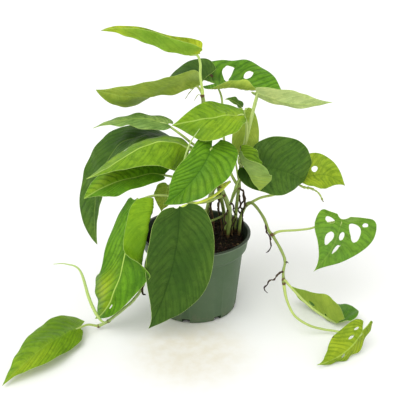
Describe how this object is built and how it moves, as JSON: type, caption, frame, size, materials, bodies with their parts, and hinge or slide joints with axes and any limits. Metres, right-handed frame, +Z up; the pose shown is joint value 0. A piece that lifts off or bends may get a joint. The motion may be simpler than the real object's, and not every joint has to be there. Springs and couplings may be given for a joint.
{
  "type": "potted swiss-cheese vine",
  "caption": "Young swiss-cheese vine with heart-shaped pierced leaves on arching and trailing stems, growing in a soil-filled round tapered plastic nursery pot.",
  "frame": {"origin": "centre of the pot's underside, on the surface that the pot stands on", "axes": "+Z up along the pot's axis, +X to the right and -Y towards the viewer of the picture"},
  "size_m": [0.3323, 0.2205, 0.2762],
  "materials": {
    "pot": "matte moulded green plastic",
    "soil": "dark damp potting mix with bark bits",
    "stem": "smooth yellow-green stem skin, browner when old",
    "leaf_dark": "satin dark green leaf",
    "leaf_mid": "satin mid green leaf",
    "leaf_bright": "satin bright green leaf",
    "leaf_lime": "satin yellow-green young leaf",
    "leaf_olive": "matte pale olive leaf underside",
    "spike": "smooth pale rolled leaf and sheath"
  },
  "bodies": {
    "root": {"pot": "pot", "soil": "soil", "stem_right_crown": "stem", "stem_tall": "stem", "stem_front": "stem", "stem_back": "stem", "vine_right": "stem", "vine_left": "stem", "leaf_top_rolled": "leaf_bright", "leaf_upper_left": "leaf_olive", "leaf_upper_back": "leaf_mid", "leaf_small_dark": "leaf_dark", "leaf_upper_right": "leaf_olive", "leaf_centre": "leaf_bright", "leaf_behind_centre": "leaf_olive", "leaf_left_edge_on": "leaf_mid", "leaf_left_dark": "leaf_dark", "leaf_left_bright": "leaf_bright", "leaf_left_lower": "leaf_mid", "leaf_under_left": "leaf_olive", "leaf_front_heart": "leaf_mid", "leaf_front_dark": "leaf_dark", "leaf_front_left": "leaf_bright", "leaf_floor_left": "leaf_bright", "leaf_right_round": "leaf_dark", "leaf_right_yellow": "leaf_lime", "leaf_right_curled": "leaf_mid", "leaf_right_holes": "leaf_mid", "leaf_floor_right": "leaf_olive", "leaf_floor_lime": "leaf_lime", "spike_left": "spike", "spike_crown": "spike", "spike_sheath": "spike"}
  },
  "joints": []
}
